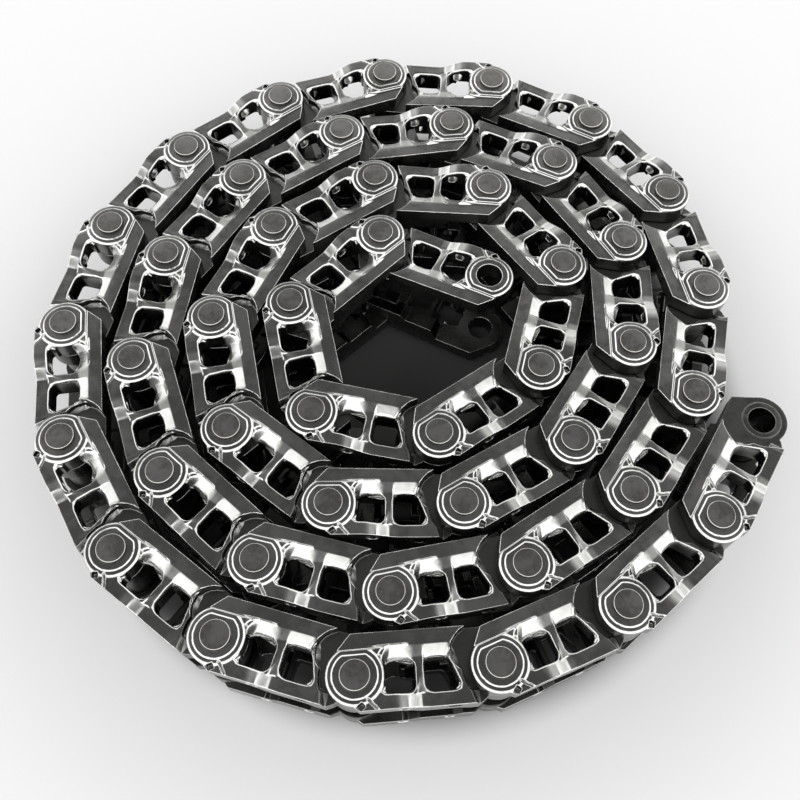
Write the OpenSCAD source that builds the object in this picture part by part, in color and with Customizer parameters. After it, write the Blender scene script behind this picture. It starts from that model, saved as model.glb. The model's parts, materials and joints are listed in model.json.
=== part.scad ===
// Track chain of a crawler excavator, laid on its side and rolled up.
// Every section is two links, a bush and a pin. A pin is pressed into the outboard bosses of its own
// section and turns in the bush of the section before it. Units are millimetres.
// Sections are numbered from the inner end of the roll. The links' local frame: x runs from the pin
// to the bush, y points to the rail, z is the distance from the chain's middle plane.

/* [Chain] */
// distance from one hinge axis to the next
pitch = 216; // [190:1:230]

/* [Roll] */
// radius of the roll at the empty pin bores of the inner end
core_radius = 159; // [155:1:220]
// radial distance from one turn to the next
turn_spacing = 126.5; // [126:0.5:180]
// how far the roll is out of round, each way from its mean radius
out_of_round = 22.5; // [0:0.5:25]
// direction of the first hinge axis, seen from the roll's middle
start_angle = 30; // [20:1:40]
// how far the inner end is tucked in towards the roll's middle
tuck = 14; // [10:0.5:20]

/* [Pin and bush] */
// diameter of the pin
pin_d = 46; // [40:0.5:50]
// length of the pin
pin_len = 240; // [236:1:260]
// chamfer at both ends of the pin
pin_chamfer = 1.6; // [0.5:0.1:3]
// outer diameter of the bush
bush_od = 67; // [60:0.5:72]
// chamfer at both mouths of the bush's bore
bush_chamfer = 1.5; // [0.5:0.1:3]
// running clearance between pin and bush, each side
pin_clearance = 0.4; // [0.3:0.05:0.8]
// gap all round a pressed pin or bush, which keeps the pieces apart as solids
fit_gap = 0.02; // [0.01:0.01:0.05]

/* [Link side view] */
// height of the rail's tread above the hinge axis
rail_h = 62; // [58:0.5:63]
// depth of the shoe face below the hinge axis
shoe_h = 51; // [49:0.5:52]
// radius of the pin boss and of the bush boss
boss_r = 44; // [42:0.5:46]
// thickness of the shoe flange under the windows
flange_t = 22; // [16:0.5:24]
// height of the rail's side band
rail_band = 25; // [20:0.5:28]
// height of the windows' upper edge above the hinge axis
window_top = 20.5; // [16:0.5:22]
// thickness of the post between the two windows
post_t = 11; // [8:0.5:16]
// radius of the scoops between the rail and the windows
scoop_r = 27; // [24:0.5:30]
// corner radius of the windows
window_r = 6; // [3:0.5:8]

/* [Link plan view] */
// outboard face of the link's pin half
face_pin = 109; // [106:0.5:112]
// sideways step between the pin half and the bush half
link_offset = 19; // [16:0.5:22]
// height of the raised pad round the pin
pad_h = 2; // [1:0.5:4]
// height of the boss over the face of the pin half
boss_h = 3; // [2:0.5:4]
// inner face of the pin boss
boss_in = 75.2; // [75:0.1:77]
// side gap between a pin boss and the bush boss inside it
side_gap = 1.2; // [0.6:0.1:2]
// thickness of the bush boss
bush_boss_t = 36; // [30:0.5:40]

/* [Shoe bolts] */
// diameter of a shoe bolt hole
bolt_d = 21; // [18:0.5:23]
// distance along the chain between the two bolt rows
bolt_pitch = 76.2; // [70:0.2:80]
// spacing across the chain of the holes in the pin half
bolt_wide = 178.4; // [174:0.2:182]

/* [Hidden] */
$fn = 96;
// number of sections, one for each numbered node below
sections = 45;
mid_z = pin_len / 2;
bush_id = pin_d + 2 * pin_clearance;
bush_boss_out = boss_in - side_gap;
bush_boss_in = bush_boss_out - bush_boss_t;
// the bush stands a little proud of its bosses
bush_half = bush_boss_out + side_gap / 3;
face_bush = face_pin - link_offset - 1;
rail_face_pin = face_pin - 3;
rail_face_bush = face_bush + 8;
bolt_narrow = bolt_wide - 2 * link_offset;
bolt_x_pin = (pitch - bolt_pitch) / 2;
bolt_x_bush = (pitch + bolt_pitch) / 2;
window_floor = flange_t - shoe_h;
post_x = pitch / 2 - 9;
post_pin = post_x - post_t / 2;
post_bush = post_x + post_t / 2;
rail_low = rail_h - rail_band;
// ends of the shoe face and of the rail's tread, along the link
shoe_start = 4;
shoe_end = pitch - 32;
rail_start = -4;
rail_end = pitch + 15;
// where the web steps from the pin half's face to the bush half's face, outboard and inboard
step_start = post_x - 23;
step_end = post_x - 2;
step_in = bolt_x_pin;
inner_pin = boss_in - 6;
inner_bush = inner_pin - link_offset;
// the web thins to the bush boss between these two places
thin_start = pitch - 50;
thin_end = shoe_end;
// the raised web stops here, where the scoops begin
web_end = step_start - 14;
scoop_start = web_end - 4;
// the scoops' axes lie this far outboard of the rail's face, and a little below the windows' upper edge
scoop_lift = scoop_r / 2;
scoop_y = window_top - 2.5;
// radius of the pin window's rounded corner
window_round = 24;
// the neighbour's boss, rail corner and rail turn inside these radii, and a hollow blends them
sweep_boss = boss_r + 12;
sweep_corner = rail_h + 3;
sweep_rail = rail_h + 15;
hollow_r = 35;
hollow_y = rail_low - 10;
// draft of the boss's edge
boss_draft = 3.5;
// the pad round the pin: its width and where its flat lies
pad_r = pin_d / 2 + 11;
pad_flat = pin_d / 2 + 6;
// square recess and slanted groove at the flange's pin end
recess = [10, 9];
recess_at = [7, 6.5 - shoe_h];
recess_turn = 38;
recess_depth = 12;
groove = [24, 4];
groove_at = [15, 9 - boss_r];
groove_turn = -48;
groove_depth = 2.5;
// cutters and plans run this far past the link
reach = 100;
eps = 1;
steel = [0.30, 0.30, 0.31];
dark = [0.22, 0.22, 0.23];
bright = [0.42, 0.41, 0.39];

// The roll: a spiral, a little out of round, stepped one pitch at a time.
function roll_r(t) =
    core_radius + turn_spacing * t / 360 + out_of_round * sin(2 * (start_angle + t))
    - tuck * max(0, 1 - t / 80);
function roll_pt(t) = roll_r(t) * [cos(start_angle + t), sin(start_angle + t)];
function chord(t, s) = norm(roll_pt(s) - roll_pt(t));
function next_t(t, lo, hi, n) =
    n == 0 ? (lo + hi) / 2
    : chord(t, (lo + hi) / 2) < pitch ? next_t(t, (lo + hi) / 2, hi, n - 1)
    : next_t(t, lo, (lo + hi) / 2, n - 1);
turns = [for (i = 0, t = 0; i <= sections; i = i + 1, t = next_t(t, t + 2, t + 130, 40)) t];
raw = [for (t = turns) roll_pt(t)];
function way(a, b) = atan2(b[1] - a[1], b[0] - a[0]);
// the roll is turned so that the outer section lies along Y and its shoe face looks along X
turn_z = 90 - way(raw[sections - 1], raw[sections]);
function spin(p, a) = [p[0] * cos(a) - p[1] * sin(a), p[0] * sin(a) + p[1] * cos(a)];
turned = [for (p = raw) spin(p, turn_z)];
head = [for (k = [1 : sections]) way(turned[k - 1], turned[k])];
// the outline's far corners, to set the middle of the roll over the origin
corners = [[shoe_start, -shoe_h], [shoe_end, -shoe_h], [rail_start, rail_h], [rail_end, rail_h]];
far = concat(
    [for (k = [1 : sections], c = corners) turned[k - 1] + spin(c, head[k - 1])],
    [for (p = turned, d = [[boss_r, 0], [-boss_r, 0], [0, boss_r], [0, -boss_r]]) p + d]);
far_x = [for (p = far) p[0]];
far_y = [for (p = far) p[1]];
middle = [(min(far_x) + max(far_x)) / 2, (min(far_y) + max(far_y)) / 2];
hinge = [for (p = turned) p - middle];

function unit(v) = v / norm(v);
function arc(o, r, a0, turn, n) =
    [for (j = [0 : n]) o + r * [cos(a0 + turn * j / n), sin(a0 + turn * j / n)]];
function corner(a, b, c, r, n) =
    let (u = unit(a - b), v = unit(c - b), half = acos(u * v) / 2)
    let (o = b + unit(u + v) * r / sin(half), s = b + u * r / tan(half), e = b + v * r / tan(half))
    let (a0 = way(o, s), a1 = way(o, e), turn = (a1 - a0 + 900) % 360 - 180)
    arc(o, r, a0, turn, n);
function soften(p, r, n) =
    let (m = len(p))
    [for (i = [0 : m - 1]) each corner(p[(i + m - 1) % m], p[i], p[(i + 1) % m], r, n)];

// Outline of the web, the flange and both bosses, seen from the side.
module web_side() {
    circle(r = boss_r);
    translate([pitch, 0]) circle(r = boss_r);
    polygon([[0, 0], [shoe_start - 10, eps - boss_r], [shoe_start, -shoe_h], [shoe_end, -shoe_h],
             [shoe_end + 12, eps - boss_r], [pitch, 0], [pitch, rail_low + 4], [0, rail_low + 4]]);
}

// Outline of the rail, with its corners cut off at both ends.
module rail_side() {
    polygon([[-boss_r * 0.8, boss_r * 0.62], [rail_start, rail_h], [rail_end, rail_h],
             [pitch + boss_r * 0.9, boss_r * 0.42], [pitch, rail_low - 6], [0, rail_low - 6]]);
}

// Plan of the web: the pin half lies outboard, the bush half one step further in.
module web_plan() {
    polygon([[-reach, boss_in], [-reach, face_pin], [step_start, face_pin], [step_end, face_bush],
             [thin_start, face_bush], [thin_end, bush_boss_out], [pitch + reach, bush_boss_out],
             [pitch + reach, bush_boss_in], [thin_start, bush_boss_in], [thin_start - 16, inner_bush],
             [step_in + 26, inner_bush], [step_in + 8, inner_pin], [step_in, inner_pin],
             [step_in, boss_in]]);
}

// Plan of the rail: narrow where two links pass each other, its outer face sloping in towards the bush.
module rail_plan() {
    polygon([[-reach, boss_in], [-reach, rail_face_pin], [10, rail_face_pin],
             [thin_start + 10, rail_face_bush], [thin_start + 10, bush_boss_out],
             [pitch + reach, bush_boss_out],
             [pitch + reach, bush_boss_in + 2], [thin_start - 20, bush_boss_in + 2],
             [thin_start - 30, inner_bush], [step_in + 12, inner_bush], [step_in, boss_in]]);
}

// Stands a plan on edge: its second axis becomes z, and it runs along y from y0 to y1.
module upright(y0, y1) {
    translate([0, y1, 0]) rotate([90, 0, 0]) linear_extrude(y1 - y0) children();
}

// Window of the pin half. The boss fills the side that has no corner.
module window_pin() {
    foot = [post_pin, window_floor];
    polygon(concat(soften([[post_pin, window_top], foot, [boss_r - 12, window_floor]], window_r, 4),
                   arc([boss_r + 16, window_top - window_round], window_round, 180, -90, 16)));
}

// Window of the bush half, with a slanted end.
module window_bush() {
    polygon(soften([[post_bush, window_floor], [post_bush, window_top], [thin_start - 25, window_top],
                    [thin_start - 6, window_floor]], window_r, 4));
}

// The part of a shape that lies above y0.
module above(y0) {
    intersection() {
        children();
        translate([-reach, y0]) square(2 * reach);
    }
}

// Room for the neighbour's boss and rail corner to swing, seen from the side about the bush's axis.
module sweep() {
    translate([-hollow_r, hollow_y]) circle(r = hollow_r);
    above(window_floor - eps) circle(r = sweep_boss);
    above(boss_r / 7) circle(r = sweep_corner);
    above(hollow_y) circle(r = sweep_rail);
}

// Trough from the rail's face down into a window, from x0 to x1.
module scoop(x0, x1, face) {
    translate([x0, scoop_y, face + scoop_lift]) rotate([0, 90, 0]) cylinder(r = scoop_r, h = x1 - x0);
}

// Web and rail, with the windows, the scoops and the room for the neighbour cut out.
module body() {
    difference() {
        union() {
            intersection() {
                translate([0, 0, bush_boss_in]) linear_extrude(face_pin - bush_boss_in) web_side();
                upright(-shoe_h - eps, boss_r + eps) web_plan();
            }
            intersection() {
                translate([0, 0, bush_boss_in]) linear_extrude(face_pin - bush_boss_in) rail_side();
                upright(0, rail_h + eps) rail_plan();
            }
        }
        // the raised web stops at the lower edge of the rail's band
        translate([-reach, rail_low, rail_face_pin]) cube([reach + web_end, rail_band + eps, reach]);
        translate([pitch, 0, bush_boss_out]) linear_extrude(reach) sweep();
        linear_extrude(2 * reach) {
            window_pin();
            window_bush();
        }
        translate([scoop_start, scoop_y, rail_face_pin + scoop_lift]) sphere(r = scoop_r);
        scoop(scoop_start, post_bush, rail_face_pin);
        scoop(post_bush, thin_start, rail_face_bush);
    }
}

// Boss and pad round the pin, flat on the side of the rail.
module pin_boss() {
    intersection() {
        union() {
            translate([0, 0, boss_in]) cylinder(r = boss_r, h = face_pin - boss_in);
            translate([0, 0, face_pin]) cylinder(r1 = boss_r, r2 = boss_r - boss_draft, h = boss_h);
        }
        translate([-reach, -reach, 0]) cube([2 * reach, reach + rail_low, 2 * reach]);
    }
    translate([0, 0, face_pin]) linear_extrude(boss_h + pad_h) intersection() {
        circle(r = pad_r);
        translate([-reach, -reach]) square([2 * reach, reach + pad_flat]);
    }
}

// Shoe bolt hole from the window's floor down through the flange.
module bolt_hole(x, z) {
    translate([x, window_floor + eps, z]) rotate([90, 0, 0]) cylinder(d = bolt_d, h = flange_t + 2 * eps);
}

// One link, on the side where z is positive.
module link() {
    difference() {
        union() {
            body();
            pin_boss();
        }
        translate([recess_at[0], recess_at[1], face_pin - recess_depth]) rotate(recess_turn)
            translate(-recess / 2) cube([recess[0], recess[1], reach]);
        translate([groove_at[0], groove_at[1], face_pin - groove_depth]) rotate(groove_turn)
            cube([groove[0], groove[1], reach]);
        translate([0, 0, boss_in - eps]) cylinder(d = pin_d + 2 * fit_gap, h = reach);
        translate([pitch, 0, bush_boss_in - eps])
            cylinder(d = bush_od + 2 * fit_gap, h = bush_boss_t + 2 * eps);
        bolt_hole(bolt_x_pin, bolt_wide / 2);
        bolt_hole(bolt_x_bush, bolt_narrow / 2);
    }
}

module right_link() { color(steel) link(); }
module left_link() { color(steel) mirror([0, 0, 1]) link(); }

module bush() {
    mouth = bush_id + 2 * bush_chamfer;
    color(dark) translate([pitch, 0, -bush_half]) difference() {
        cylinder(d = bush_od, h = 2 * bush_half);
        translate([0, 0, -eps]) cylinder(d = bush_id, h = 2 * bush_half + 2 * eps);
        cylinder(d1 = mouth, d2 = bush_id, h = bush_chamfer);
        translate([0, 0, 2 * bush_half - bush_chamfer])
            cylinder(d1 = bush_id, d2 = mouth, h = bush_chamfer);
    }
}

module pin() {
    shank = pin_len - 2 * pin_chamfer;
    color(bright) translate([0, 0, -shank / 2]) {
        cylinder(d = pin_d, h = shank);
        translate([0, 0, shank]) cylinder(d1 = pin_d, d2 = pin_d - 2 * pin_chamfer, h = pin_chamfer);
        translate([0, 0, -pin_chamfer]) cylinder(d1 = pin_d - 2 * pin_chamfer, d2 = pin_d, h = pin_chamfer);
    }
}

// Puts a piece of section k where it lies in the roll.
module place(k) {
    translate([hinge[k - 1][0], hinge[k - 1][1], mid_z]) rotate([0, 0, head[k - 1]]) children();
}

module section(k) {
    place(k) {
        right_link();
        left_link();
        bush();
        pin();
    }
}

place(1) right_link();  // right_link_01
place(1) left_link();  // left_link_01
place(1) bush();  // bush_01
section(2);  // section_02
section(3);  // section_03
section(4);  // section_04
section(5);  // section_05
section(6);  // section_06
section(7);  // section_07
section(8);  // section_08
section(9);  // section_09
section(10);  // section_10
section(11);  // section_11
section(12);  // section_12
section(13);  // section_13
section(14);  // section_14
section(15);  // section_15
section(16);  // section_16
section(17);  // section_17
section(18);  // section_18
section(19);  // section_19
section(20);  // section_20
section(21);  // section_21
section(22);  // section_22
section(23);  // section_23
section(24);  // section_24
section(25);  // section_25
section(26);  // section_26
section(27);  // section_27
section(28);  // section_28
section(29);  // section_29
section(30);  // section_30
section(31);  // section_31
section(32);  // section_32
section(33);  // section_33
section(34);  // section_34
section(35);  // section_35
section(36);  // section_36
section(37);  // section_37
section(38);  // section_38
section(39);  // section_39
section(40);  // section_40
section(41);  // section_41
place(42) right_link();  // right_link_42
place(42) left_link();  // left_link_42
place(42) bush();  // bush_42
place(42) pin();  // pin_42
place(43) right_link();  // right_link_43
place(43) left_link();  // left_link_43
place(43) bush();  // bush_43
place(43) pin();  // pin_43
place(44) right_link();  // right_link_44
place(44) left_link();  // left_link_44
place(44) bush();  // bush_44
place(44) pin();  // pin_44
place(45) right_link();  // right_link_45
place(45) left_link();  // left_link_45
place(45) bush();  // bush_45
place(45) pin();  // pin_45
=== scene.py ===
"""Looks of a crawler excavator's track chain, laid on its side and rolled up.

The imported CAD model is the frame. Each node gets one dressed piece: the forged links are rounded from the
CAD link, the pins and bushes are turned here, and every surface has a procedural steel finish.
"""

import json
import logging
import math
from dataclasses import dataclass
from enum import Enum

import bmesh
import bpy
import numpy as np
from mathutils import Matrix, Vector


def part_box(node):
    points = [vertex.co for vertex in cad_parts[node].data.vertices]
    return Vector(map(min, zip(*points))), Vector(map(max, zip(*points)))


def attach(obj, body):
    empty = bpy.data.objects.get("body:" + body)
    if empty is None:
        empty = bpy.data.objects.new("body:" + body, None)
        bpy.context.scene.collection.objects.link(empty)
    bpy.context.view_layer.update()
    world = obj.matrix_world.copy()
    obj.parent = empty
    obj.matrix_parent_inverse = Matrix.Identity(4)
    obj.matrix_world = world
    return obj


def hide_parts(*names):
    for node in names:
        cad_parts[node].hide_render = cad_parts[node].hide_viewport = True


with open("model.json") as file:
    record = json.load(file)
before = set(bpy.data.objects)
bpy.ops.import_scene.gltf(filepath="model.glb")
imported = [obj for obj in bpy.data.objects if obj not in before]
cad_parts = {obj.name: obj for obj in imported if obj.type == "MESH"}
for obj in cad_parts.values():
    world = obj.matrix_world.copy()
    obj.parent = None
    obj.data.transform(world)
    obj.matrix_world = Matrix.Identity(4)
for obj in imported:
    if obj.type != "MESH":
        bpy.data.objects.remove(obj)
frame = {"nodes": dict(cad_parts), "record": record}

Colour = tuple[float, float, float]
MM = 0.001
log = logging.getLogger("track_chain")


class Piece(Enum):
    """The kinds of node in the frame, by the first part of the node's name."""

    RIGHT_LINK = "right_link"
    LEFT_LINK = "left_link"
    BUSH = "bush"
    PIN = "pin"
    SECTION = "section"


class Lathe(Enum):
    """The axis that the fine rings of a turned piece run round, in a section's own frame."""

    NONE = "none"
    PIN = "pin"
    BUSH = "bush"


class NodeGraph:
    """A short way to write a shader node tree.

    Args:
        tree: The node tree that gets the nodes.
    """

    def __init__(self, tree: bpy.types.NodeTree) -> None:
        """Keeps the tree."""
        self.tree = tree

    def node(self, kind: str, **settings: object) -> bpy.types.Node:
        """Adds a node.

        Args:
            kind: The node's Blender type, without the ShaderNode prefix.
            settings: Properties of the node.

        Returns:
            The new node.
        """
        made = self.tree.nodes.new("ShaderNode" + kind)
        for name, value in settings.items():
            setattr(made, name, value)
        return made

    def feed(self, socket: bpy.types.NodeSocket, value: object) -> None:
        """Links an output to a socket, or sets a plain value on it.

        Args:
            socket: The input socket.
            value: An output socket, a number, a vector or a colour.
        """
        if isinstance(value, bpy.types.NodeSocket):
            self.tree.links.new(value, socket)
        elif isinstance(value, tuple) and len(value) == 3 and socket.type == "RGBA":
            socket.default_value = (*value, 1.0)
        else:
            socket.default_value = value

    def math(self, operation: str, a: object, b: object = 0.0, clamp: bool = False) -> bpy.types.NodeSocket:
        """Adds a Math node.

        Args:
            operation: The operation's Blender name.
            a: First value or output.
            b: Second value or output.
            clamp: Whether the result is kept between 0 and 1.

        Returns:
            The node's output.
        """
        made = self.node("Math", operation=operation, use_clamp=clamp)
        self.feed(made.inputs[0], a)
        self.feed(made.inputs[1], b)
        return made.outputs[0]

    def ramp(
        self, value: object, low: float, high: float, to: tuple[float, float] = (0.0, 1.0)
    ) -> bpy.types.NodeSocket:
        """Maps a range smoothly to another.

        Args:
            value: The value or output to map.
            low: Where the result is the first of to.
            high: Where the result is the second of to.
            to: The two results.

        Returns:
            The node's output.
        """
        made = self.node("MapRange", interpolation_type="SMOOTHSTEP")
        for socket, given in zip(made.inputs, (value, low, high, *to)):
            self.feed(socket, given)
        return made.outputs["Result"]

    def mix(self, factor: object, a: object, b: object) -> bpy.types.NodeSocket:
        """Mixes two colours.

        Args:
            factor: The share of the second colour.
            a: First colour.
            b: Second colour.

        Returns:
            The colour output.
        """
        made = self.node("Mix", data_type="RGBA")
        self.feed(made.inputs["Factor"], factor)
        first, second = (socket for socket in made.inputs if socket.type == "RGBA")
        self.feed(first, a)
        self.feed(second, b)
        return next(socket for socket in made.outputs if socket.type == "RGBA")

    def noise(
        self, vector: object, scale: object, detail: float, rough: float = 0.55
    ) -> bpy.types.NodeSocket:
        """Adds a noise texture.

        Args:
            vector: Where it is read.
            scale: Features per metre.
            detail: Octaves.
            rough: How strong the fine octaves are.

        Returns:
            The noise's value.
        """
        made = self.node("TexNoise")
        self.feed(made.inputs["Vector"], vector)
        self.feed(made.inputs["Scale"], scale)
        made.inputs["Detail"].default_value = detail
        made.inputs["Roughness"].default_value = rough
        return made.outputs[0]


class EffectGroups:
    """The shader node groups that several finishes share, each built once.

    Scales are given against the scale of the whole effect, shares and edges against its full strength.
    """

    FINE_PATCHES = 6.0
    SPECKS = 17.0
    PATCH_SHARES = (0.62, 0.38)
    FILM_EDGES = (0.38, 0.62)
    SPECK_EDGES = (0.60, 0.72)
    WAVES = 0.12
    PIT_CELLS = 0.45
    PIT_EDGES = (0.10, 0.22)
    GRAIN_SHARES = (0.5, 0.9)
    PIT_DEPTH = 0.18
    FLAT_EDGES = (0.84, 0.988)
    WALL_EDGES = (0.04, 0.30)

    def __init__(self) -> None:
        """Builds every group."""
        self.film = self._oil_film()
        self.grain = self._forged_grain()
        self.painted_highlight_group = self._painted_slope_highlight()

    @staticmethod
    def _group(name: str, inputs: dict[str, str], outputs: dict[str, str]) -> tuple[NodeGraph, dict, dict]:
        """Makes an empty group.

        Args:
            name: The group's name.
            inputs: Socket types by name.
            outputs: Socket types by name.

        Returns:
            The graph, the sockets that bring the inputs in, and the sockets that take the outputs.
        """
        tree = bpy.data.node_groups.new(name, "ShaderNodeTree")
        for socket, kind in inputs.items():
            tree.interface.new_socket(socket, in_out="INPUT", socket_type=kind)
        for socket, kind in outputs.items():
            tree.interface.new_socket(socket, in_out="OUTPUT", socket_type=kind)
        source = tree.nodes.new("NodeGroupInput")
        sink = tree.nodes.new("NodeGroupOutput")
        return NodeGraph(tree), {s: source.outputs[s] for s in inputs}, {s: sink.inputs[s] for s in outputs}

    @staticmethod
    def _sum(
        graph: NodeGraph, a: object, b: object, shares: tuple[float, float]
    ) -> bpy.types.NodeSocket:
        """Adds two values up by their shares."""
        return graph.math("ADD", graph.math("MULTIPLY", a, shares[0]), graph.math("MULTIPLY", b, shares[1]))

    def _oil_film(self) -> bpy.types.NodeTree:
        """Makes the group for preserving oil: broad patches, runs and small smudges."""
        graph, given, wanted = self._group(
            "oil_film",
            {"Vector": "NodeSocketVector", "Patch": "NodeSocketFloat"},
            {"Film": "NodeSocketFloat", "Smudge": "NodeSocketFloat"},
        )
        broad = graph.noise(given["Vector"], given["Patch"], 3.0)
        fine_scale = graph.math("MULTIPLY", given["Patch"], self.FINE_PATCHES)
        fine = graph.noise(given["Vector"], fine_scale, 5.0, 0.65)
        both = self._sum(graph, broad, fine, self.PATCH_SHARES)
        graph.feed(wanted["Film"], graph.ramp(both, *self.FILM_EDGES))
        specks = graph.noise(given["Vector"], graph.math("MULTIPLY", given["Patch"], self.SPECKS), 2.0)
        graph.feed(wanted["Smudge"], graph.ramp(specks, *self.SPECK_EDGES))
        return graph.tree

    def _forged_grain(self) -> bpy.types.NodeTree:
        """Makes the group for the skin of blasted forgings: fine grain with shallow pits."""
        graph, given, wanted = self._group(
            "forged_grain",
            {"Vector": "NodeSocketVector", "Scale": "NodeSocketFloat"},
            {"Height": "NodeSocketFloat", "Pits": "NodeSocketFloat"},
        )
        fine = graph.noise(given["Vector"], given["Scale"], 4.0, 0.6)
        wave = graph.noise(given["Vector"], graph.math("MULTIPLY", given["Scale"], self.WAVES), 2.0)
        cells = graph.node("TexVoronoi", feature="F1")
        graph.feed(cells.inputs["Vector"], given["Vector"])
        graph.feed(cells.inputs["Scale"], graph.math("MULTIPLY", given["Scale"], self.PIT_CELLS))
        pits = graph.ramp(cells.outputs["Distance"], *self.PIT_EDGES, (1.0, 0.0))
        rough = self._sum(graph, fine, wave, self.GRAIN_SHARES)
        depth = graph.math("MULTIPLY", pits, self.PIT_DEPTH)
        graph.feed(wanted["Height"], graph.math("SUBTRACT", rough, depth))
        graph.feed(wanted["Pits"], pits)
        return graph.tree

    def _painted_slope_highlight(self) -> bpy.types.NodeTree:
        """Makes the group for the painted highlight: a mask of the slopes between the flats and the walls,
        by the way they face.
        """
        graph, given, wanted = self._group(
            "painted_slope_highlight", {"Normal": "NodeSocketVector"}, {"Mask": "NodeSocketFloat"}
        )
        parts = graph.node("SeparateXYZ")
        graph.feed(parts.inputs[0], given["Normal"])
        upright = graph.math("ABSOLUTE", parts.outputs["Z"])
        off_flat = graph.ramp(upright, *self.FLAT_EDGES, (1.0, 0.0))
        off_wall = graph.ramp(upright, *self.WALL_EDGES)
        graph.feed(wanted["Mask"], graph.math("MULTIPLY", off_flat, off_wall))
        return graph.tree


@dataclass(frozen=True)
class LinkSizes:
    """The link's own sizes, read from the frame, in metres.

    In a section's frame x runs from the pin to the bush, y to the rail and z outboard.
    """

    pitch: float
    shoe_face: float
    tread: float


@dataclass(frozen=True)
class SteelFinish:
    """One steel finish.

    The colours are those of bare steel, of steel under a thick film of oil, and a bright colour that serves
    both as the painted highlight on the slopes and as the milled faces' bare metal. Inside is the share of
    colour that is left inside the chain, where shade is painted into the colour, and painted_shade_edges are
    the distances from the chain's middle between which the painted shade sets in. Lengths are in metres.
    """

    name: str
    bare: Colour
    oiled: Colour
    painted_highlight_and_milled: Colour
    roughness: tuple[float, float]
    grain_scale: float
    grain_height: float
    patch: float
    lathe: Lathe
    lathe_pitch: float
    lathe_height: float
    cut_faces: bool
    inside: float = 1.0
    painted_shade_edges: tuple[float, float] = (66.0 * MM, 86.0 * MM)
    highlight_under_oil: float = 0.75
    pit_stain: float = 0.35
    smudge_stain: float = 0.30
    pit_roughness: float = 0.08
    cut_brightness: float = 0.12
    cut_unshaded_share: float = 0.65
    cut_depth: float = 0.6 * MM
    mill_scale: float = 110.0
    mill_height: float = 0.25

    def material(self, groups: EffectGroups, sizes: LinkSizes) -> bpy.types.Material:
        """Builds the material.

        Args:
            groups: The shared effects.
            sizes: The link's sizes, for the faces that are cut and the axes of turned pieces.

        Returns:
            The finished material.
        """
        made = bpy.data.materials.new(self.name)
        made.use_nodes = True
        graph = NodeGraph(made.node_tree)
        surface = made.node_tree.nodes["Principled BSDF"]
        place = graph.node("TexCoord")
        tone = graph.node("Attribute", attribute_name="tone")
        where = graph.node("VectorMath", operation="ADD")
        graph.feed(where.inputs[0], place.outputs["Object"])
        graph.feed(where.inputs[1], tone.outputs["Vector"])
        film = graph.node("Group", node_tree=groups.film)
        graph.feed(film.inputs["Vector"], where.outputs[0])
        film.inputs["Patch"].default_value = self.patch
        grain = graph.node("Group", node_tree=groups.grain)
        graph.feed(grain.inputs["Vector"], where.outputs[0])
        grain.inputs["Scale"].default_value = self.grain_scale
        painted_highlight_group = graph.node("Group", node_tree=groups.painted_highlight_group)
        graph.feed(painted_highlight_group.inputs["Normal"], place.outputs["Normal"])

        oil = film.outputs["Film"]
        # Painted highlight: the slopes between the flats and the walls take the bright colour, less so under
        # oil.
        highlight_left = graph.ramp(oil, 0.0, 1.0, (1.0, self.highlight_under_oil))
        painted_highlight = graph.math("MULTIPLY", painted_highlight_group.outputs["Mask"], highlight_left)
        colour = graph.mix(oil, self.bare, self.oiled)
        pits, smudge = grain.outputs["Pits"], film.outputs["Smudge"]
        colour = graph.mix(graph.math("MULTIPLY", pits, self.pit_stain), colour, self.oiled)
        colour = graph.mix(graph.math("MULTIPLY", smudge, self.smudge_stain), colour, self.oiled)
        # The painted highlight on the slopes.
        colour = graph.mix(painted_highlight, colour, self.painted_highlight_and_milled)
        rough = graph.ramp(oil, 0.0, 1.0, (self.roughness[1], self.roughness[0]))
        rough = graph.math("ADD", rough, graph.math("MULTIPLY", pits, self.pit_roughness))
        height = grain.outputs["Height"]
        if self.cut_faces:
            cut = self._cut_mask(graph, place.outputs["Object"], sizes)
            marks = self._mill_marks(graph, place.outputs["Object"])
            colour = graph.mix(graph.math("MULTIPLY", cut, self.cut_brightness), colour, self.painted_highlight_and_milled)
            height = graph.math("ADD", height, graph.math("MULTIPLY", marks, cut))
        if self.lathe is not Lathe.NONE:
            rings = self._rings(graph, place.outputs["Object"], sizes)
            height = graph.math("ADD", height, rings)
        # Painted shade: the colour is darkened inside the chain, between the links; the milled faces keep
        # most of their colour.
        if self.inside < 1.0:
            light = self._painted_shade_fade(graph, place.outputs["Object"])
            if self.cut_faces:
                light = graph.math("MAXIMUM", light, graph.math("MULTIPLY", cut, self.cut_unshaded_share))
            colour = graph.mix(light, tuple(part * self.inside for part in self.oiled), colour)
        bump = graph.node("Bump")
        bump.inputs["Strength"].default_value = 1.0
        bump.inputs["Distance"].default_value = self.grain_height
        graph.feed(bump.inputs["Height"], height)
        graph.feed(surface.inputs["Base Color"], colour)
        graph.feed(surface.inputs["Roughness"], rough)
        graph.feed(surface.inputs["Normal"], bump.outputs[0])
        surface.inputs["Metallic"].default_value = 1.0
        return made

    def _cut_mask(
        self, graph: NodeGraph, place: bpy.types.NodeSocket, sizes: LinkSizes
    ) -> bpy.types.NodeSocket:
        """Marks the faces of a link that are milled: the shoe face and the rail's tread.

        Args:
            graph: The material's graph.
            place: The place in the section's frame.
            sizes: The link's sizes.

        Returns:
            The mask.
        """
        parts = graph.node("SeparateXYZ")
        graph.feed(parts.inputs[0], place)
        shoe = graph.math("LESS_THAN", parts.outputs["Y"], sizes.shoe_face + self.cut_depth)
        tread = graph.math("GREATER_THAN", parts.outputs["Y"], sizes.tread - self.cut_depth)
        return graph.math("ADD", shoe, tread, clamp=True)

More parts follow.
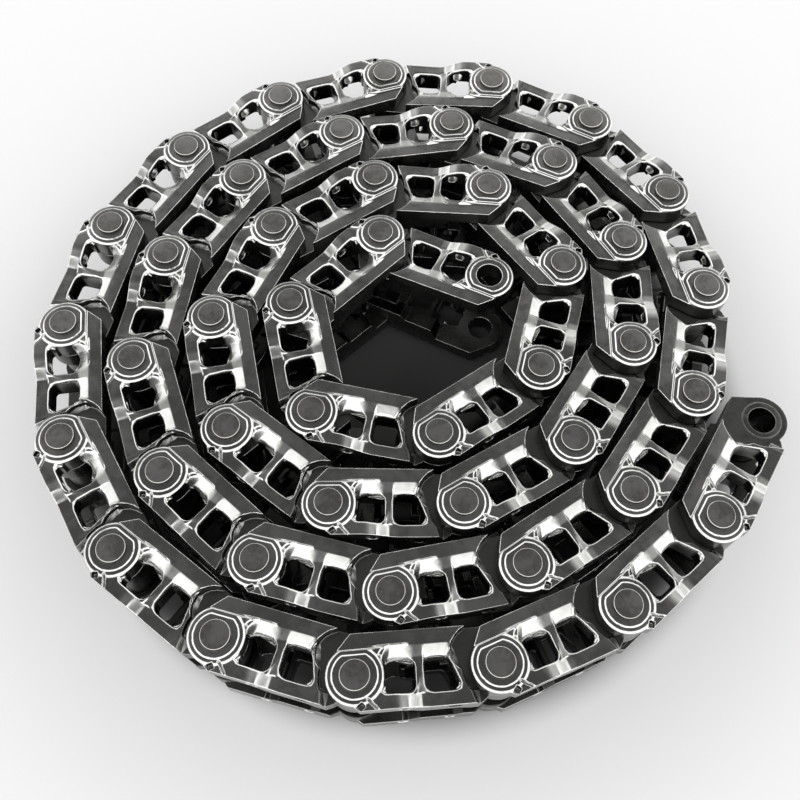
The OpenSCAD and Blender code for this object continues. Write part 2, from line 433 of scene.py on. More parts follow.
    def _painted_shade_fade(self, graph: NodeGraph, place: bpy.types.NodeSocket) -> bpy.types.NodeSocket:
        """Falls from 1 at the outboard faces to 0 inside the chain, where shade is painted into the colour.

        Args:
            graph: The material's graph.
            place: The place in the section's frame.

        Returns:
            The share of the finish's own colour.
        """
        parts = graph.node("SeparateXYZ")
        graph.feed(parts.inputs[0], place)
        return graph.ramp(graph.math("ABSOLUTE", parts.outputs["Z"]), *self.painted_shade_edges)

    def _mill_marks(self, graph: NodeGraph, place: bpy.types.NodeSocket) -> bpy.types.NodeSocket:
        """Makes the height of the fine marks that a face mill leaves across the link.

        Args:
            graph: The material's graph.
            place: The place in the section's frame.

        Returns:
            The height, in grain heights.
        """
        marks = graph.node("TexWave", wave_type="BANDS", bands_direction="X")
        graph.feed(marks.inputs["Vector"], place)
        marks.inputs["Scale"].default_value = self.mill_scale
        marks.inputs["Distortion"].default_value = 1.2
        marks.inputs["Detail"].default_value = 2.0
        return graph.math("MULTIPLY", marks.outputs["Fac"], self.mill_height)

    def _rings(
        self, graph: NodeGraph, place: bpy.types.NodeSocket, sizes: LinkSizes
    ) -> bpy.types.NodeSocket:
        """Makes the height of the fine rings of a turned piece.

        Args:
            graph: The material's graph.
            place: The place in the section's frame.
            sizes: The link's sizes.

        Returns:
            The height, in grain heights.
        """
        centre = (0.0, 0.0, 0.0) if self.lathe is Lathe.PIN else (sizes.pitch, 0.0, 0.0)
        moved = graph.node("VectorMath", operation="SUBTRACT")
        graph.feed(moved.inputs[0], place)
        moved.inputs[1].default_value = centre
        parts = graph.node("SeparateXYZ")
        graph.feed(parts.inputs[0], moved.outputs[0])
        square = graph.math(
            "ADD",
            graph.math("MULTIPLY", parts.outputs["X"], parts.outputs["X"]),
            graph.math("MULTIPLY", parts.outputs["Y"], parts.outputs["Y"]),
        )
        along = graph.math("ADD", graph.math("SQRT", square), parts.outputs["Z"])
        wave = graph.math("SINE", graph.math("MULTIPLY", along, math.tau / self.lathe_pitch))
        return graph.math("MULTIPLY", wave, self.lathe_height / self.grain_height)


class Roll:
    """Where the sections of the chain lie in the roll.

    Args:
        record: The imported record, which holds the hinges and the mounts at both ends.
    """

    def __init__(self, record: dict) -> None:
        """Reads the hinge axes from the inner end to the outer end."""
        mounts = {mount["name"]: Vector(mount["pos_m"]) for mount in record["mounts"]}
        joints = {joint["name"]: Vector(joint["pos_m"]) for joint in record["behaviour"]["joints"]}
        inner = [joints[name] for name in sorted(joints)]
        self.hinges = [mounts["inner_pin_bores"], *inner, mounts["outer_bush_bore"]]
        self.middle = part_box("pin_45")[1].z / 2

    @property
    def count(self) -> int:
        """The number of sections."""
        return len(self.hinges) - 1

    @property
    def pitch(self) -> float:
        """The distance from one hinge axis to the next."""
        return (self.hinges[1] - self.hinges[0]).to_2d().length

    def place(self, number: int) -> Matrix:
        """Gives the frame of a section.

        Args:
            number: The section's number, from 1 at the inner end.

        Returns:
            The matrix from the section's frame to the part's frame.
        """
        start, end = self.hinges[number - 1].to_2d(), self.hinges[number].to_2d()
        way = end - start
        turn = Matrix.Rotation(math.atan2(way.y, way.x), 4, "Z")
        return Matrix.Translation((start.x, start.y, self.middle)) @ turn


def ease(value: np.ndarray, low: float, high: float) -> np.ndarray:
    """Rises smoothly from 0 at low to 1 at high."""
    share = np.clip((value - low) / (high - low), 0.0, 1.0)
    return share * share * (3.0 - 2.0 * share)


def rise(value: np.ndarray, start: float, full: float) -> np.ndarray:
    """Goes evenly from 0 at start to 1 at full, which may lie below start."""
    return np.clip((value - start) / (full - start), 0.0, 1.0)


@dataclass(frozen=True)
class Window:
    """A window's outline: straight sides with round corners, in millimetres in a section's frame.

    The corner beside the pin boss may be one wide arc, given by its centre and its radius.
    """

    corners: tuple[tuple[float, float], ...]
    radius: float = 12.5
    arc: tuple[float, float, float] | None = None

    def outside(self, x: np.ndarray, y: np.ndarray) -> np.ndarray:
        """Measures how far points lie outside the window.

        Args:
            x: The points' places along the link.
            y: The points' places across the link.

        Returns:
            The distances, which are 0 inside.
        """
        ends = np.array(self.corners)
        sides = np.roll(ends, -1, axis=0) - ends
        outward = np.column_stack((sides[:, 1], -sides[:, 0])) / np.hypot(*sides.T)[:, None]
        offsets = [(x - e[0]) * n[0] + (y - e[1]) * n[1] + self.radius for e, n in zip(ends, outward)]
        apart = np.sqrt(sum(np.clip(offset, 0.0, None) ** 2 for offset in offsets)) - self.radius
        if self.arc:
            middle_x, middle_y, radius = self.arc
            beside_boss = (x < middle_x) & (y > middle_y)
            apart = np.where(beside_boss, np.hypot(x - middle_x, y - middle_y) - radius, apart)
        return np.clip(apart, 0.0, None)


WINDOWS: tuple[Window, ...] = (
    Window(((36.0, -29.0), (89.0, -29.0), (89.0, 20.5), (36.0, 20.5)), arc=(60.0, -3.5, 24.0)),
    Window(((104.5, -29.0), (160.0, -29.0), (141.0, 20.5), (104.5, 20.5))),
)


class TopGrid:
    """The height of a link's outboard face over a grid, carried on across the windows. In millimetres.

    Only points that face outboard and lie above LOWEST count, and of those in a cell only the ones that lie
    within BAND of the highest.

    Args:
        points: The rounded link's points.
        normals: The points' normals.
    """

    STEP = 2.0
    LOW = (24.0, -56.0)
    CELLS = (82, 52)
    LOWEST = 76.0
    FACING = 0.35
    BAND = 4.0
    EVENINGS = 2
    LAST_CELL = 1.001

    def __init__(self, points: np.ndarray, normals: np.ndarray) -> None:
        """Averages the face's heights in each cell and fills the empty cells from their neighbours."""
        face = points[(normals[:, 2] > self.FACING) & (points[:, 2] > self.LOWEST)]
        cells = np.round((face[:, :2] - self.LOW) / self.STEP).astype(int)
        held = np.all((cells >= 0) & (cells < self.CELLS), axis=1)
        highest, total, count = (np.zeros(self.CELLS) for _ in range(3))
        np.maximum.at(highest, tuple(cells[held].T), face[held, 2])
        held[held] = face[held, 2] > highest[tuple(cells[held].T)] - self.BAND
        np.add.at(total, tuple(cells[held].T), face[held, 2])
        np.add.at(count, tuple(cells[held].T), 1.0)
        known = count > 0.0
        self.height = np.where(known, total / np.maximum(count, 1.0), 0.0)
        while not known.all():
            near, shares = self._around(self.height * known), self._around(known.astype(float))
            fresh = ~known & (shares > 0.0)
            self.height[fresh] = near[fresh] / shares[fresh]
            known |= fresh
        for _ in range(self.EVENINGS):
            self.height = self._around(self.height) / self._around(np.ones(self.CELLS))

    @staticmethod
    def _around(values: np.ndarray) -> np.ndarray:
        """Adds up each cell and its four neighbours."""
        wide = np.pad(values, 1)
        return wide[1:-1, 1:-1] + wide[:-2, 1:-1] + wide[2:, 1:-1] + wide[1:-1, :-2] + wide[1:-1, 2:]

    def read(self, x: np.ndarray, y: np.ndarray) -> np.ndarray:
        """Reads the height at points.

        Args:
            x: The points' places along the link.
            y: The points' places across the link.

        Returns:
            The heights, mixed from the four cells round each point.
        """
        spots = [
            np.clip((value - low) / self.STEP, 0.0, cells - self.LAST_CELL)
            for value, low, cells in zip((x, y), self.LOW, self.CELLS)
        ]
        (i, j), (u, v) = ([spot.astype(int) for spot in spots], [spot % 1.0 for spot in spots])
        near = self.height[i, j] * (1.0 - v) + self.height[i, j + 1] * v
        far = self.height[i + 1, j] * (1.0 - v) + self.height[i + 1, j + 1] * v
        return near * (1.0 - u) + far * u


@dataclass(frozen=True)
class ForgedFace:
    """The outboard face of a link: the hollows between rail and windows, the post, the strip and the rims.

    All sizes are in millimetres in a section's frame. The hollows fall from the rail's edge, top, to the
    windows' upper edge, low, and their depth there changes from the pin's side over the ridge above the post
    to the bush's side. The web slopes down to the strip over strip_run. The form fades out at the ends, at
    the boss and past the top. Reach is how far below the face the walls still move with it.
    """

    top: float = 39.8
    low: float = 20.5
    rail_run: tuple[float, float] = (10.0, 176.0)
    rail_face: tuple[float, float] = (106.0, 97.0)
    web_face: float = 109.0
    strip_face: float = 90.0
    strip_edge: float = -27.0
    strip_run: tuple[float, float] = (50.0, 113.0)
    lip: tuple[float, float] = (37.0, 20.0)
    lip_way: tuple[float, float] = (0.45, 0.893)
    lip_width: float = 11.0
    pin_depth: float = 13.5
    post_depth: float = 6.0
    bush_depth: float = 10.0
    deepest: float = 66.0
    ridge: tuple[float, float, float] = (92.0, 102.5, 105.5)
    boss_radii: tuple[float, float] = (44.5, 47.0)
    ends: tuple[float, float, float, float] = (28.0, 40.0, 148.0, 156.0)
    slant: float = 0.384
    reach: float = 30.0
    rim: float = 4.5
    top_fade: tuple[float, float] = (-1.0, 2.0)

    def rail(self, x: np.ndarray) -> np.ndarray:
        """Gives the height of the rail's face, which slopes in towards the bush."""
        return self.rail_face[0] + (self.rail_face[1] - self.rail_face[0]) * rise(x, *self.rail_run)

    def height(self, x: np.ndarray, y: np.ndarray) -> np.ndarray:
        """Gives the face's height.

        Args:
            x: Places along the link.
            y: Places across the link.

        Returns:
            The heights.
        """
        rail = self.rail(x)
        fall = rise(y, self.top, self.low)
        depth = self.pin_depth + (self.post_depth - self.pin_depth) * ease(x, self.deepest, self.ridge[0])
        depth = depth + (self.bush_depth - depth) * ease(x, *self.ridge[1:])
        hollow = rail - depth * fall
        strip = self.web_face + (self.strip_face - self.web_face) * ease(x, *self.strip_run)
        down = ease(-y, -self.low, -self.strip_edge)
        past_lip = (x - self.lip[0]) * self.lip_way[1] - (y - self.lip[1]) * self.lip_way[0]
        hollow = self.web_face + (hollow - self.web_face) * ease(past_lip, 0.0, self.lip_width)
        return hollow + (strip - hollow) * down

    def shape(self, points: np.ndarray, normals: np.ndarray) -> np.ndarray:
        """Moves the outboard surface onto the flowing form, and the walls below it with it.

        Args:
            points: The rounded link's points.
            normals: The points' normals.

        Returns:
            The points with their new heights.
        """
        x, y, z = points.T
        old = TopGrid(points, normals).read(x, y)
        apart = np.clip(self._to_windows(x, y) / self.rim, 0.0, 1.0)
        rolled = self.rim * (1.0 - np.sqrt(1.0 - (1.0 - apart) ** 2))
        slanted = x + self.slant * (y - self.low)
        share = ease(x, *self.ends[:2]) * (1.0 - ease(slanted, *self.ends[2:]))
        past_top = ease(y, *(self.top + fade for fade in self.top_fade))
        share = share * (1.0 - past_top) * ease(np.hypot(x, y), *self.boss_radii)
        moved = (self.height(x, y) - old - rolled) * share
        hold = np.clip((z - old + self.reach) / self.reach, 0.0, 1.0)
        return np.column_stack((x, y, z + moved * hold))

    @staticmethod
    def _to_windows(x: np.ndarray, y: np.ndarray) -> np.ndarray:
        """Measures how far points lie outside the windows' outlines."""
        return np.min([window.outside(x, y) for window in WINDOWS], axis=0)


def add_block(shape: bmesh.types.BMesh, outline: list[Vector], low: float, tops: list[float]) -> None:
    """Adds a closed block to a mesh in metres.

    Args:
        shape: The mesh.
        outline: The block's corners along and across the link, in millimetres.
        low: The height of its underside.
        tops: The height of its top at each corner.
    """
    under = [shape.verts.new((p.x * MM, p.y * MM, low * MM)) for p in outline]
    over = [shape.verts.new((p.x * MM, p.y * MM, top * MM)) for p, top in zip(outline, tops)]
    faces = [shape.faces.new(under), shape.faces.new(over)]
    for index in range(len(under)):
        after = (index + 1) % len(under)
        faces.append(shape.faces.new((under[index], under[after], over[after], over[index])))
    bmesh.ops.recalc_face_normals(shape, faces=faces)


@dataclass(frozen=True)
class HollowFill:
    """Stock that fills a plain hollow of the link, before the flowing form is given. In millimetres.

    It reaches up to the rail's face, or to the given distance below it at each corner.
    """

    corners: tuple[tuple[float, float], ...]
    low: float
    below_rail: tuple[float, ...] = (0.0,)

    def add_to(self, shape: bmesh.types.BMesh, face: ForgedFace) -> None:
        """Adds the stock to a link.

        Args:
            shape: The link's mesh, in metres.
            face: The face, which gives the rail's height.
        """
        tops = face.rail(np.array(self.corners)[:, 0]) - np.array(self.below_rail)
        add_block(shape, [Vector(corner) for corner in self.corners], self.low, tops.tolist())


# In order: the hollow above the first window, its start beside the boss, its narrow end at the boss, the
# post between the windows, and the hollow above the second window.
HOLLOW_FILLS: tuple[HollowFill, ...] = (
    HollowFill(((60.0, 20.5), (104.5, 20.5), (104.5, 41.0), (60.0, 41.0)), 80.0),
    HollowFill(((43.0, 13.5), (51.0, 18.7), (60.0, 20.5), (60.0, 41.0), (30.0, 41.0), (36.5, 25.0)), 88.0),
    HollowFill(((36.2, 0.0), (39.2, 8.5), (43.0, 13.5), (36.5, 25.0), (30.0, 12.0)), 88.0),
    HollowFill(((89.0, -30.0), (104.5, -30.0), (104.5, 20.5), (89.0, 20.5)), 66.0, (4.5, 10.9, 0.0, 0.0)),
    HollowFill(((104.5, 20.5), (139.5, 20.5), (142.5, 30.0), (148.0, 41.0), (104.5, 41.0)), 70.0),
)


@dataclass(frozen=True)
class WindowCorner:
    """A fillet in a corner of a window, in millimetres in a section's frame.

    The two sides are the directions in which the window's edges leave the corner. The fillet fills the
    corner between two heights inside the web's thickness.
    """

    at: tuple[float, float]
    sides: tuple[tuple[float, float], tuple[float, float]]
    heights: tuple[float, float]
    radius: float = 12.0
    sunk: float = 2.5
    steps: int = 6

    def outline(self) -> list[Vector]:
        """Gives the fillet's outline: sunk into the web behind the corner, and round in front of it."""
        corner = Vector(self.at)
        first, second = (Vector(side).normalized() for side in self.sides)
        half = first.angle(second) / 2
        reach = self.radius / math.tan(half)
        middle = (first + second).normalized()
        centre = corner + middle * (self.radius / math.sin(half))
        start = corner + first * reach - centre
        begin = math.atan2(start.y, start.x)
        end = corner + second * reach - centre
        turn = (math.atan2(end.y, end.x) - begin + math.pi) % math.tau - math.pi
        turns = [begin + turn * step / self.steps for step in range(self.steps + 1)]
        arc = [centre + self.radius * Vector((math.cos(angle), math.sin(angle))) for angle in turns]
        back = [corner + second * reach - first * self.sunk, corner - middle * self.sunk]
        return arc + back + [corner + first * reach - second * self.sunk]

    def add_to(self, shape: bmesh.types.BMesh) -> None:
        """Adds the fillet to a link as a closed block.

        Args:
            shape: The link's mesh, in metres.
        """
        outline = self.outline()
        add_block(shape, outline, self.heights[0], [self.heights[1]] * len(outline))


# The two corners of the first window beside the post, then the four corners of the second window.
WINDOW_CORNERS: tuple[WindowCorner, ...] = (
    WindowCorner((89.0, 20.5), ((-1.0, 0.0), (0.0, -1.0)), (72.0, 101.8)),
    WindowCorner((89.0, -29.0), ((-1.0, 0.0), (0.0, 1.0)), (70.0, 100.0)),
    WindowCorner((104.5, 20.5), ((1.0, 0.0), (0.0, -1.0)), (54.0, 96.0), radius=9.0),
    WindowCorner((104.5, -29.0), ((1.0, 0.0), (0.0, 1.0)), (54.0, 89.5)),
    WindowCorner((141.0, 20.5), ((-1.0, 0.0), (0.358, -0.934)), (54.0, 88.0)),
    WindowCorner((160.0, -29.0), ((-1.0, 0.0), (-0.358, 0.934)), (54.0, 89.5)),
)


@dataclass(frozen=True)
class BlendZone:
    """A zone of the outboard face where the forging flows softly, in millimetres in a section's frame.

    Each edge of the zone gives where it begins and where the blend is full.
    """

    along: tuple[tuple[float, float], ...]
    across: tuple[tuple[float, float], ...]
    outboard: tuple[float, float] = (82.0, 88.0)

    def weight(self, x: np.ndarray, y: np.ndarray, z: np.ndarray) -> np.ndarray:
        """Gives how strong the blend is at points.

        Args:
            x: The points' places along the link.
            y: The points' places across the link.
            z: The points' heights.

        Returns:
            The strengths, from 0 to 1.
        """
        along = math.prod(rise(x, *edge) for edge in self.along)
        across = math.prod(rise(y, *edge) for edge in self.across)
        return along * across * rise(z, *self.outboard)


SCOOPS = BlendZone(along=((48.0, 60.0), (168.0, 156.0)), across=((-4.0, 6.0), (48.0, 42.0)))
STRIP_STEP = BlendZone(along=((62.0, 72.0), (112.0, 102.0)), across=((-22.0, -28.0),))


@dataclass
class ForgedLink:
    """A forged link: the CAD link with every edge rounded, as a die leaves it. Lengths are in metres."""

    node: str
    voxel: float = 1.1 * MM
    smoothing: int = 4
    face: ForgedFace = ForgedFace()
    blending: int = 12
    pull: float = 0.5
    faintest: float = 0.01
    triangles: int = 10000
    weld: float = 2e-6

    def build(self, place: Matrix) -> bpy.types.Mesh:
        """Rounds the CAD link.

        Args:
            place: The frame of the section that the CAD link belongs to.

        Returns:
            The rounded link in a section's frame, on the side where z is positive.
        """
        mesh = self._bare(place)
        block = bpy.data.objects.new("link_block", mesh)
        bpy.context.scene.collection.objects.link(block)
        remesh = block.modifiers.new("round", "REMESH")
        remesh.mode = "VOXEL"
        remesh.voxel_size = self.voxel
        smooth = block.modifiers.new("smooth", "SMOOTH")
        smooth.factor = self.pull
        smooth.iterations = self.smoothing
        self._apply(block)
        self._flow(block.data)
        self._mark_blends(block)
        blend = block.modifiers.new("blend", "SMOOTH")
        blend.factor = self.pull
        blend.iterations = self.blending
        blend.vertex_group = "blends"
        self._apply(block)
        thin = block.modifiers.new("thin", "DECIMATE")
        thin.ratio = self.triangles / (2 * len(block.data.polygons))
        self._apply(block)
        done = block.data
        bpy.data.objects.remove(block)
        return done

    def _flow(self, mesh: bpy.types.Mesh) -> None:
        """Gives the outboard face its flowing form."""
        points = np.empty(len(mesh.vertices) * 3)
        normals = np.empty(len(mesh.vertices) * 3)
        mesh.vertices.foreach_get("co", points)
        mesh.vertices.foreach_get("normal", normals)
        shaped = self.face.shape(points.reshape(-1, 3) / MM, normals.reshape(-1, 3)) * MM
        mesh.vertices.foreach_set("co", shaped.ravel())
        mesh.update()

    def _mark_blends(self, block: bpy.types.Object) -> None:
        """Marks where the forging flows softly: the scoops beside the rail, and the step in the strip.

        Args:
            block: The rounded link, which gets a vertex group.
        """
        points = np.empty(len(block.data.vertices) * 3)
        block.data.vertices.foreach_get("co", points)
        places = points.reshape(-1, 3).T / MM
        weights = np.maximum(SCOOPS.weight(*places), STRIP_STEP.weight(*places))
        group = block.vertex_groups.new(name="blends")
        for index in np.flatnonzero(weights > self.faintest):
            group.add([int(index)], float(weights[index]), "REPLACE")

    def _bare(self, place: Matrix) -> bpy.types.Mesh:
        """Copies the CAD link into a section's frame and welds its faces together."""
        shape = bmesh.new()
        shape.from_mesh(frame["nodes"][self.node].data)
        shape.transform(place.inverted())
        bmesh.ops.remove_doubles(shape, verts=shape.verts, dist=self.weld)
        for fill in HOLLOW_FILLS:
            fill.add_to(shape, self.face)
        for corner in WINDOW_CORNERS:
            corner.add_to(shape)
        mesh = bpy.data.meshes.new("link_bare")
        shape.to_mesh(mesh)
        shape.free()
        return mesh

    @staticmethod
    def _apply(block: bpy.types.Object) -> None:
        """Turns an object's modifiers into its mesh."""
        graph = bpy.context.evaluated_depsgraph_get()
        mesh = bpy.data.meshes.new_from_object(block.evaluated_get(graph))
        block.modifiers.clear()
        block.data = mesh


@dataclass
class TurnedPiece:
    """A piece turned on a lathe, with round edges. Lengths are in metres."""

    radius: float
    bore: float
    half: float
    edge: float
    sides: int = 72
    steps: int = 4
    weld: float = 1e-6

    def profile(self) -> list[tuple[float, float]]:
        """Gives the outline as radius and height, closed for a tube and open on the axis for a rod."""
        outer = self._round((self.radius - self.edge, -self.half + self.edge), -90, 0)
        outer += self._round((self.radius - self.edge, self.half - self.edge), 0, 90)
        if not self.bore:
            return [(0.0, -self.half), *outer, (0.0, self.half)]
        inner = self._round((self.bore + self.edge, self.half - self.edge), 90, 180)
        inner += self._round((self.bore + self.edge, -self.half + self.edge), 180, 270)
        return outer + inner

    def _round(self, centre: tuple[float, float], start: float, end: float) -> list[tuple[float, float]]:
        """Gives the points of a round edge.

        Args:
            centre: The arc's centre, as radius and height.
            start: First angle in degrees.
            end: Last angle in degrees.

        Returns:
            The points from the first angle to the last.
        """
        turns = [math.radians(start + (end - start) * step / self.steps) for step in range(self.steps + 1)]
        return [(centre[0] + self.edge * math.cos(a), centre[1] + self.edge * math.sin(a)) for a in turns]

    def build(self, name: str, x: float) -> bpy.types.Mesh:
        """Turns the outline round an axis along z.

        Args:
            name: The mesh's name.
            x: Where the axis lies along the section.

        Returns:
            The turned mesh in a section's frame.
        """
        shape = bmesh.new()
        verts = [shape.verts.new((x + r, 0.0, z)) for r, z in self.profile()]
        edges = [shape.edges.new(pair) for pair in zip(verts, verts[1:])]
        if self.bore:
            edges.append(shape.edges.new((verts[-1], verts[0])))
        bmesh.ops.spin(
            shape, geom=verts + edges, cent=(x, 0.0, 0.0), axis=(0.0, 0.0, 1.0), angle=math.tau,
            steps=self.sides, use_merge=True,
        )
        bmesh.ops.remove_doubles(shape, verts=shape.verts, dist=self.weld)
        bmesh.ops.recalc_face_normals(shape, faces=shape.faces)
        mesh = bpy.data.meshes.new(name)
        shape.to_mesh(mesh)
        shape.free()
        return mesh


@dataclass(frozen=True)
class Solid:
    """One solid of a section, ready to be placed."""

    mesh: bpy.types.Mesh
    material: bpy.types.Material
    mirrored: bool = False

    def arrays(self) -> tuple[np.ndarray, list[tuple[int, ...]]]:
        """Gives the solid's points and faces, mirrored to the chain's other side for a left link."""
        points = np.empty(len(self.mesh.vertices) * 3)
        self.mesh.vertices.foreach_get("co", points)
        points = points.reshape(-1, 3)
        faces = [tuple(face.vertices) for face in self.mesh.polygons]
        if self.mirrored:
            points = points * np.array((1.0, 1.0, -1.0))
            faces = [face[::-1] for face in faces]
        return points, faces


class TrackChain:
    """The whole chain: one dressed piece for each node of the frame.

    Args:
        roll: Where the sections lie.
        sizes: The link's sizes.
    """

    NORMAL_WEIGHT = 65
    TONE_STEP = 0.618034
    TONES_EACH = 4
    TONE_SPREAD = 7.0
    SECTION_SPREAD = 0.37

    def __init__(self, roll: Roll, sizes: LinkSizes) -> None:
        """Builds the shared meshes and finishes."""
        self.roll = roll
        groups = EffectGroups()
        forged = FORGED.material(groups, sizes)
        ground = GROUND.material(groups, sizes)
        turned = TURNED.material(groups, sizes)
        last = roll.count
        link = ForgedLink(f"right_link_{last:02d}").build(roll.place(last))
        pin = self._pin().build("pin_shape", 0.0)
        bush = self._bush().build("bush_shape", sizes.pitch)
        self.solids: dict[Piece, list[Solid]] = {
            Piece.RIGHT_LINK: [Solid(link, forged)],
            Piece.LEFT_LINK: [Solid(link, forged, mirrored=True)],
            Piece.BUSH: [Solid(bush, ground)],
            Piece.PIN: [Solid(pin, turned)],
        }
        self.solids[Piece.SECTION] = [solid for kind in self.solids.values() for solid in kind]

    @staticmethod
    def _pin() -> TurnedPiece:
        """Reads the pin's sizes from the frame."""
        low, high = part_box("pin_45")
        return TurnedPiece(radius=(high.x - low.x) / 2, bore=0.0, half=(high.z - low.z) / 2, edge=1.6 * MM)

    @staticmethod
    def _bush() -> TurnedPiece:
        """Reads the bush's sizes from the frame and from the mount in its bore."""
        low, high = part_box("bush_45")
        mounts = {mount["name"]: mount for mount in frame["record"]["mounts"]}
        bore = mounts["outer_bush_bore"]["dims"]["r_mm"] * MM
        return TurnedPiece(radius=(high.x - low.x) / 2, bore=bore, half=(high.z - low.z) / 2, edge=1.5 * MM)

    def build(self) -> None:
        """Builds every piece and lets it ride on its body."""
        bodies = frame["record"]["behaviour"]["bodies"]
        for body, nodes in bodies.items():
            for node in nodes:
                self._piece(node, body)

    def _piece(self, node: str, body: str) -> None:
        """Builds the piece that stands for a node.

        Args:
            node: The node's name, which ends in its section's number.
            body: The body that carries it.
        """
        kind_name, number = node.rsplit("_", 1)
        kind = Piece(kind_name)
        mesh = self._joined(node, self.solids[kind], int(number))
        piece = bpy.data.objects.new(f"{node}_dressed", mesh)
        bpy.context.scene.collection.objects.link(piece)
        piece.matrix_world = self.roll.place(int(number))
        weighted = piece.modifiers.new("even_normals", "WEIGHTED_NORMAL")
        weighted.weight = self.NORMAL_WEIGHT
        weighted.keep_sharp = False
        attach(piece, body)
        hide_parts(node)
        log.info("%s: %d faces, rides on %s", piece.name, len(mesh.polygons), body)

    def _joined(self, name: str, solids: list[Solid], number: int) -> bpy.types.Mesh:
        """Joins the solids of a node into one mesh, with a material and a tone for each.

        Args:
            name: The mesh's name.
            solids: The node's solids.
            number: The section's number, from which the tone comes.

        Returns:
            The joined mesh in the section's frame.
        """
        mesh = bpy.data.meshes.new(name)
        points, faces, slots, tones = [], [], [], []
        materials: list[bpy.types.Material] = []
        for index, solid in enumerate(solids):
            if solid.material not in materials:
                materials.append(solid.material)
            own_points, own_faces = solid.arrays()
            start = sum(len(block) for block in points)
            points.append(own_points)
            faces += [tuple(start + corner for corner in face) for face in own_faces]
            slots += [materials.index(solid.material)] * len(own_faces)
            tone = (number * self.TONES_EACH + index) * self.TONE_STEP % 1.0
            shift = (tone, self.TONE_SPREAD * tone, number * self.SECTION_SPREAD)
            tones.append(np.tile(shift, (len(own_points), 1)))
        mesh.from_pydata(np.concatenate(points).tolist(), [], faces)
        for material in materials:
            mesh.materials.append(material)
        mesh.polygons.foreach_set("material_index", slots)
        mesh.polygons.foreach_set("use_smooth", [True] * len(faces))
        attribute = mesh.attributes.new("tone", "FLOAT_VECTOR", "POINT")
        attribute.data.foreach_set("vector", np.concatenate(tones).astype(np.float32).ravel())
        mesh.update()
        return mesh


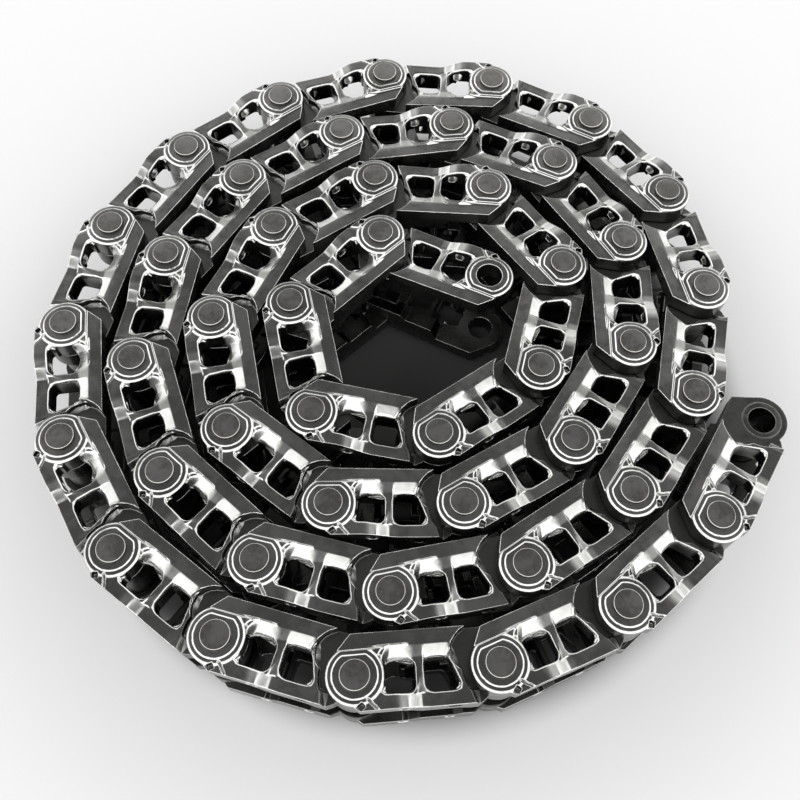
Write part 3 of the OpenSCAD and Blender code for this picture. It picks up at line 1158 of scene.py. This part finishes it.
@dataclass
class Studio:
    """The floor, the soft light and the camera. Lengths are in metres and angles in degrees."""

    eye: tuple[float, float, float] = (0.377, -0.679, 1.604)
    heading: tuple[float, float] = (-0.483, 0.876)
    dip: float = 64.79
    roll: float = 2.73
    view_angle: float = 47.75
    shift: tuple[float, float] = (-0.0147, 0.0007)
    floor_size: float = 14.0
    floor_level: float = -0.0003
    floor_roughness: float = 0.9
    shade_centre: tuple[float, float] = (0.0, 0.0)
    shade_radii: tuple[float, float] = (0.57, 0.67)
    pale: Colour = (0.80, 0.80, 0.80)
    shaded: Colour = (0.10, 0.10, 0.098)
    world_strength: float = 1.8
    cap_lean: float = 9.0
    cap_angles: tuple[float, float] = (31.0, 45.0)
    cap_level: float = 0.18

    def build(self) -> None:
        """Builds the floor, the world and the camera."""
        self._floor()
        self._world()
        self._camera()

    def _floor(self) -> None:
        """Lays a plain pale floor, which takes the chain's shadow. Its colour is painted dark where the roll
        lies, a painted shadow.
        """
        mesh = bpy.data.meshes.new("floor")
        half = self.floor_size / 2
        low = self.floor_level
        corners = [(-half, -half, low), (half, -half, low), (half, half, low), (-half, half, low)]
        mesh.from_pydata(corners, [], [(0, 1, 2, 3)])
        floor = bpy.data.objects.new("floor", mesh)
        bpy.context.scene.collection.objects.link(floor)
        paint = bpy.data.materials.new("white_floor")
        paint.use_nodes = True
        graph = NodeGraph(paint.node_tree)
        surface = paint.node_tree.nodes["Principled BSDF"]
        surface.inputs["Roughness"].default_value = self.floor_roughness
        spot = graph.node("NewGeometry")
        away = graph.node("VectorMath", operation="DISTANCE")
        graph.feed(away.inputs[0], spot.outputs["Position"])
        away.inputs[1].default_value = (*self.shade_centre, 0.0)
        # Painted shadow: the floor's colour goes dark under the roll.
        open_share = graph.ramp(away.outputs["Value"], *self.shade_radii)
        graph.feed(surface.inputs["Base Color"], graph.mix(open_share, self.shaded, self.pale))
        mesh.materials.append(paint)

    def _world(self) -> None:
        """Makes soft light all round, with a dim patch overhead that leans to the back."""
        world = bpy.data.worlds.new("studio")
        bpy.context.scene.world = world
        world.use_nodes = True
        graph = NodeGraph(world.node_tree)
        way = graph.node("TexCoord")
        lean = math.radians(self.cap_lean)
        top = (self.heading[0] * math.sin(lean), self.heading[1] * math.sin(lean), math.cos(lean))
        inner, outer = (math.cos(math.radians(angle)) for angle in self.cap_angles)
        cap = graph.node("VectorMath", operation="DOT_PRODUCT")
        graph.feed(cap.inputs[0], way.outputs["Generated"])
        cap.inputs[1].default_value = top
        open_sky = graph.ramp(cap.outputs["Value"], outer, inner, (1.0, self.cap_level))
        back = world.node_tree.nodes["Background"]
        back.inputs["Color"].default_value = (1.0, 1.0, 1.0, 1.0)
        graph.feed(back.inputs["Strength"], graph.math("MULTIPLY", open_sky, self.world_strength))

    def _camera(self) -> None:
        """Sets the camera where the photograph was taken from."""
        lens = bpy.data.cameras.new("camera")
        lens.sensor_fit = "HORIZONTAL"
        lens.angle_x = math.radians(self.view_angle)
        lens.shift_x, lens.shift_y = self.shift
        camera = bpy.data.objects.new("camera", lens)
        bpy.context.scene.collection.objects.link(camera)
        dip, roll = math.radians(self.dip), math.radians(self.roll)
        along = Vector(self.heading).normalized() * math.cos(dip)
        ahead = Vector((along.x, along.y, -math.sin(dip)))
        level = ahead.cross(Vector((0.0, 0.0, 1.0))).normalized()
        upward = level.cross(ahead)
        right = level * math.cos(roll) + upward * math.sin(roll)
        up = right.cross(ahead)
        turn = Matrix((right, up, -ahead)).transposed().to_4x4()
        camera.matrix_world = Matrix.Translation(self.eye) @ turn
        bpy.context.scene.camera = camera


FORGED = SteelFinish(
    name="forged_steel", bare=(0.20, 0.198, 0.19), oiled=(0.145, 0.144, 0.137), painted_highlight_and_milled=(0.78, 0.78, 0.76),
    roughness=(0.24, 0.32), grain_scale=420.0, grain_height=0.10 * MM, patch=9.0,
    lathe=Lathe.NONE, lathe_pitch=1.0, lathe_height=0.0, cut_faces=True, inside=0.4,
)
GROUND = SteelFinish(
    name="ground_steel", bare=(0.24, 0.235, 0.228), oiled=(0.14, 0.137, 0.128), painted_highlight_and_milled=(0.60, 0.59, 0.565),
    roughness=(0.20, 0.34), grain_scale=700.0, grain_height=0.04 * MM, patch=14.0,
    lathe=Lathe.BUSH, lathe_pitch=0.9 * MM, lathe_height=0.01 * MM, cut_faces=False, inside=0.45,
)
TURNED = SteelFinish(
    name="turned_steel", bare=(0.21, 0.207, 0.198), oiled=(0.165, 0.16, 0.15), painted_highlight_and_milled=(0.70, 0.69, 0.66),
    roughness=(0.26, 0.36), grain_scale=600.0, grain_height=0.05 * MM, patch=22.0,
    lathe=Lathe.PIN, lathe_pitch=1.1 * MM, lathe_height=0.012 * MM, cut_faces=False,
)


def read_sizes(roll: Roll) -> LinkSizes:
    """Reads the link's sizes from the frame.

    Args:
        roll: Where the sections lie. The last one lies along y, with its shoe face towards positive x.

    Returns:
        The sizes.
    """
    low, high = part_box(f"right_link_{roll.count:02d}")
    axis = roll.hinges[-1].x
    return LinkSizes(pitch=roll.pitch, shoe_face=axis - high.x, tread=axis - low.x)


def main() -> None:
    """Builds the chain and the studio."""
    logging.basicConfig(level=logging.INFO, format="%(message)s")
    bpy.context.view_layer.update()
    roll = Roll(frame["record"])
    TrackChain(roll, read_sizes(roll)).build()
    Studio().build()
    bpy.context.scene.view_settings.view_transform = "Standard"


if __name__ == "__main__":
    main()
